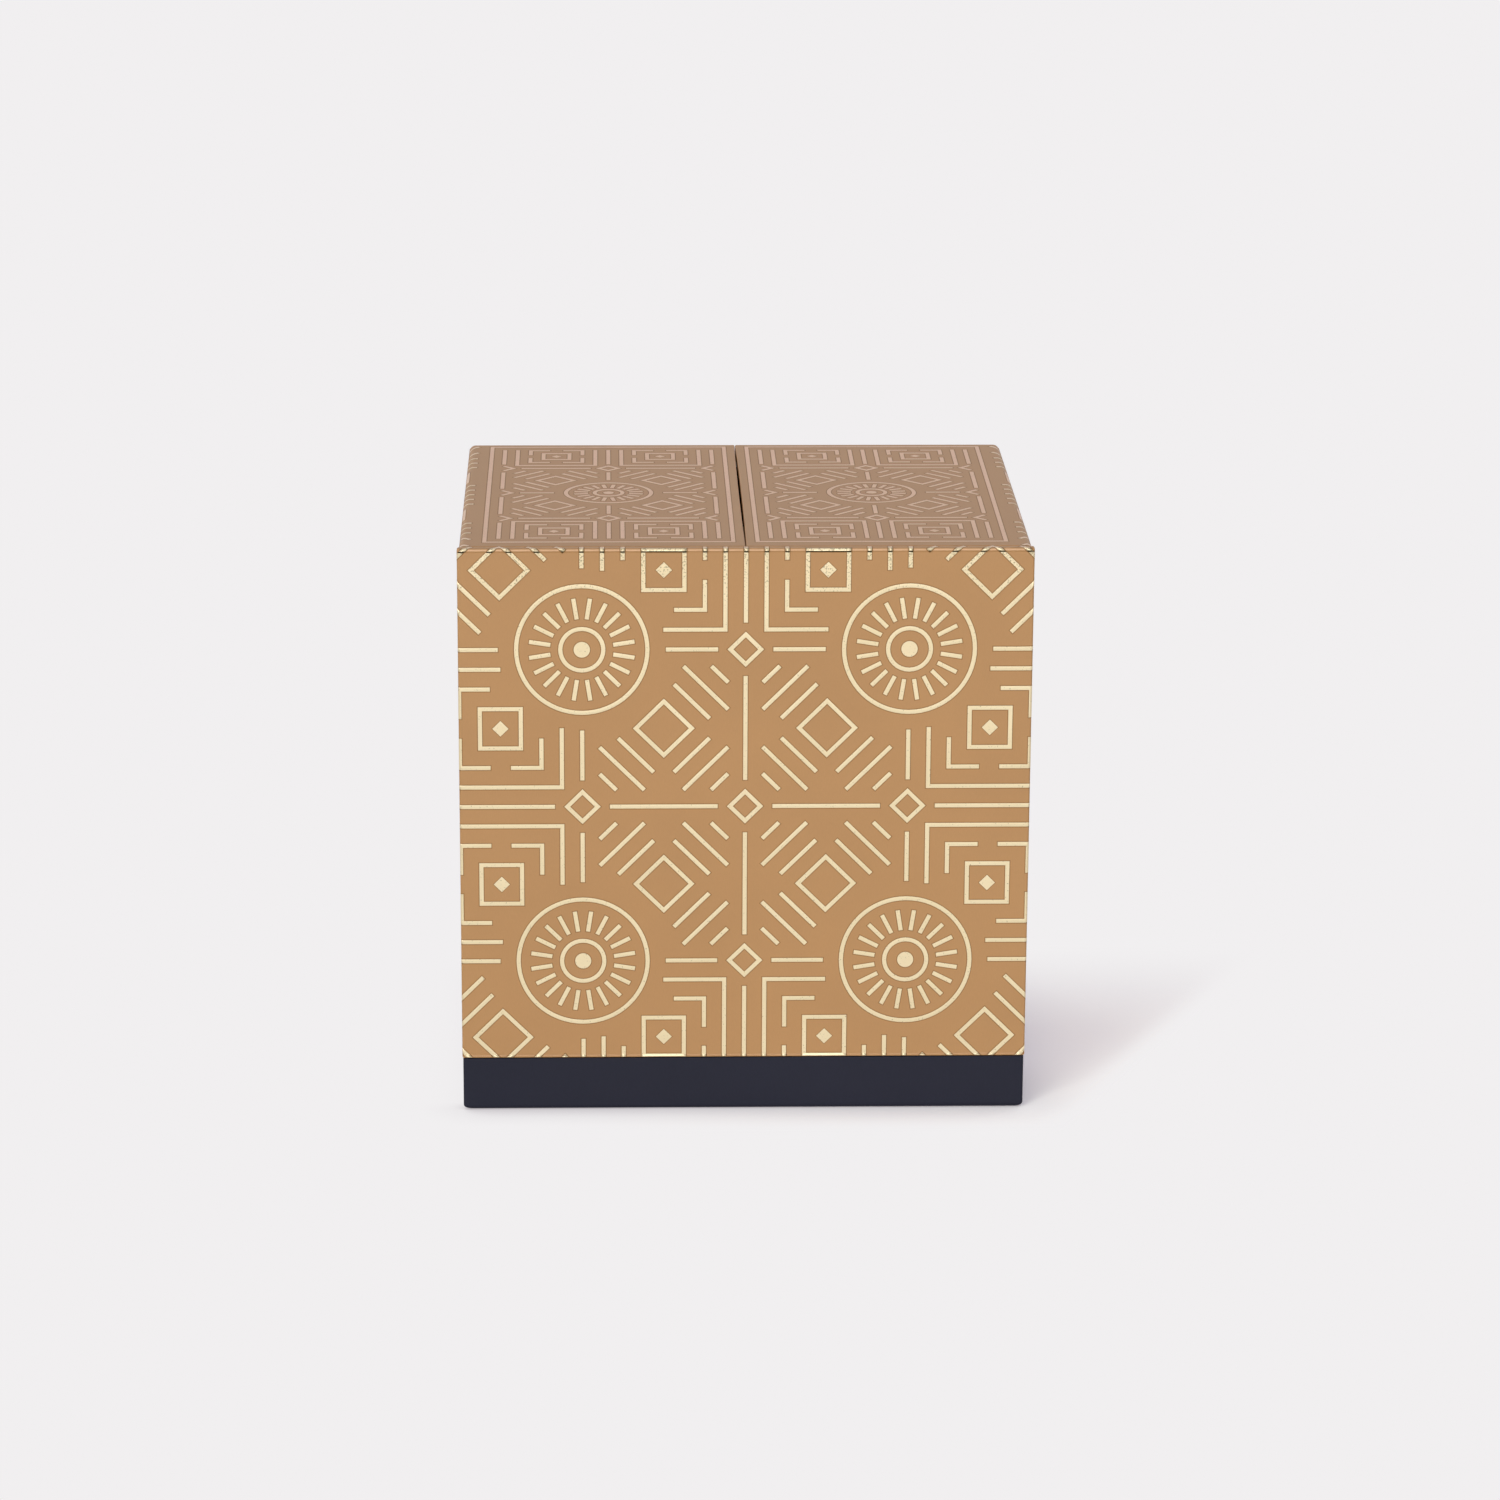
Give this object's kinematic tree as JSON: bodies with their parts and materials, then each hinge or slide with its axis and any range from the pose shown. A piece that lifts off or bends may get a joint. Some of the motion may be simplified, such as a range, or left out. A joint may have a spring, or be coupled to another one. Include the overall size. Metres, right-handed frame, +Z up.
{
  "type": "mooncake gift box",
  "caption": "Upright mooncake gift box: foil-lined board walls on a dark plinth, top leaves that open outwards like double doors, and stacked lift-out trays with round places.",
  "frame": {"origin": "centre of the plinth's footprint, on the surface that the box stands on", "axes": "+X to the right of someone who faces the front panel, +Y from the front panel to the rear, +Z up"},
  "size_m": [0.165, 0.132, 0.17],
  "materials": {
    "printed_wrap": "tan wrap paper with a soft satin, printed with pale gold foil lines, over greyboard",
    "plinth_wrap": "matt navy wrap paper over greyboard",
    "neck_paper": "matt navy lining paper on greyboard",
    "tray_board": "matt navy paper on thin greyboard",
    "insert_card": "satin tan-gold card, folded and die cut",
    "hinge_paper": "tan wrap paper, creased along the fold line",
    "gold_foil": "pale gold hot-stamped foil, slightly glossy",
    "catch_steel": "plain tinned strip",
    "magnet": "nickel plated"
  },
  "bodies": {
    "case": {"plinth": "plinth_wrap", "front_panel": "printed_wrap", "rear_panel": "printed_wrap", "left_side_panel": "printed_wrap", "right_side_panel": "printed_wrap", "left_hinge_strip": "hinge_paper", "right_hinge_strip": "hinge_paper", "front_neck_liner": "neck_paper", "rear_neck_liner": "neck_paper", "left_neck_liner": "neck_paper", "right_neck_liner": "neck_paper", "front_catch_block": "neck_paper", "rear_catch_block": "neck_paper", "front_catch_plate": "catch_steel", "rear_catch_plate": "catch_steel", "lower_tray": "tray_board", "lower_insert": "insert_card", "middle_tray": "tray_board", "middle_insert": "insert_card", "upper_tray": "tray_board", "upper_insert": "insert_card"},
    "left_leaf": {"left_leaf": "printed_wrap", "left_leaf_lining": "neck_paper", "left_leaf_front_magnet": "magnet", "left_leaf_rear_magnet": "magnet"},
    "right_leaf": {"right_leaf": "printed_wrap", "right_leaf_lining": "neck_paper", "right_leaf_front_magnet": "magnet", "right_leaf_rear_magnet": "magnet"}
  },
  "joints": [
    {"name": "left_leaf_hinge", "type": "hinge", "parent": "case", "child": "left_leaf", "pos_m": [-0.0821, 0, 0.16735], "axis": [0, -1, 0], "range_deg": [0, 180]},
    {"name": "right_leaf_hinge", "type": "hinge", "parent": "case", "child": "right_leaf", "pos_m": [0.0821, 0, 0.16735], "axis": [0, 1, 0], "range_deg": [0, 180]}
  ]
}
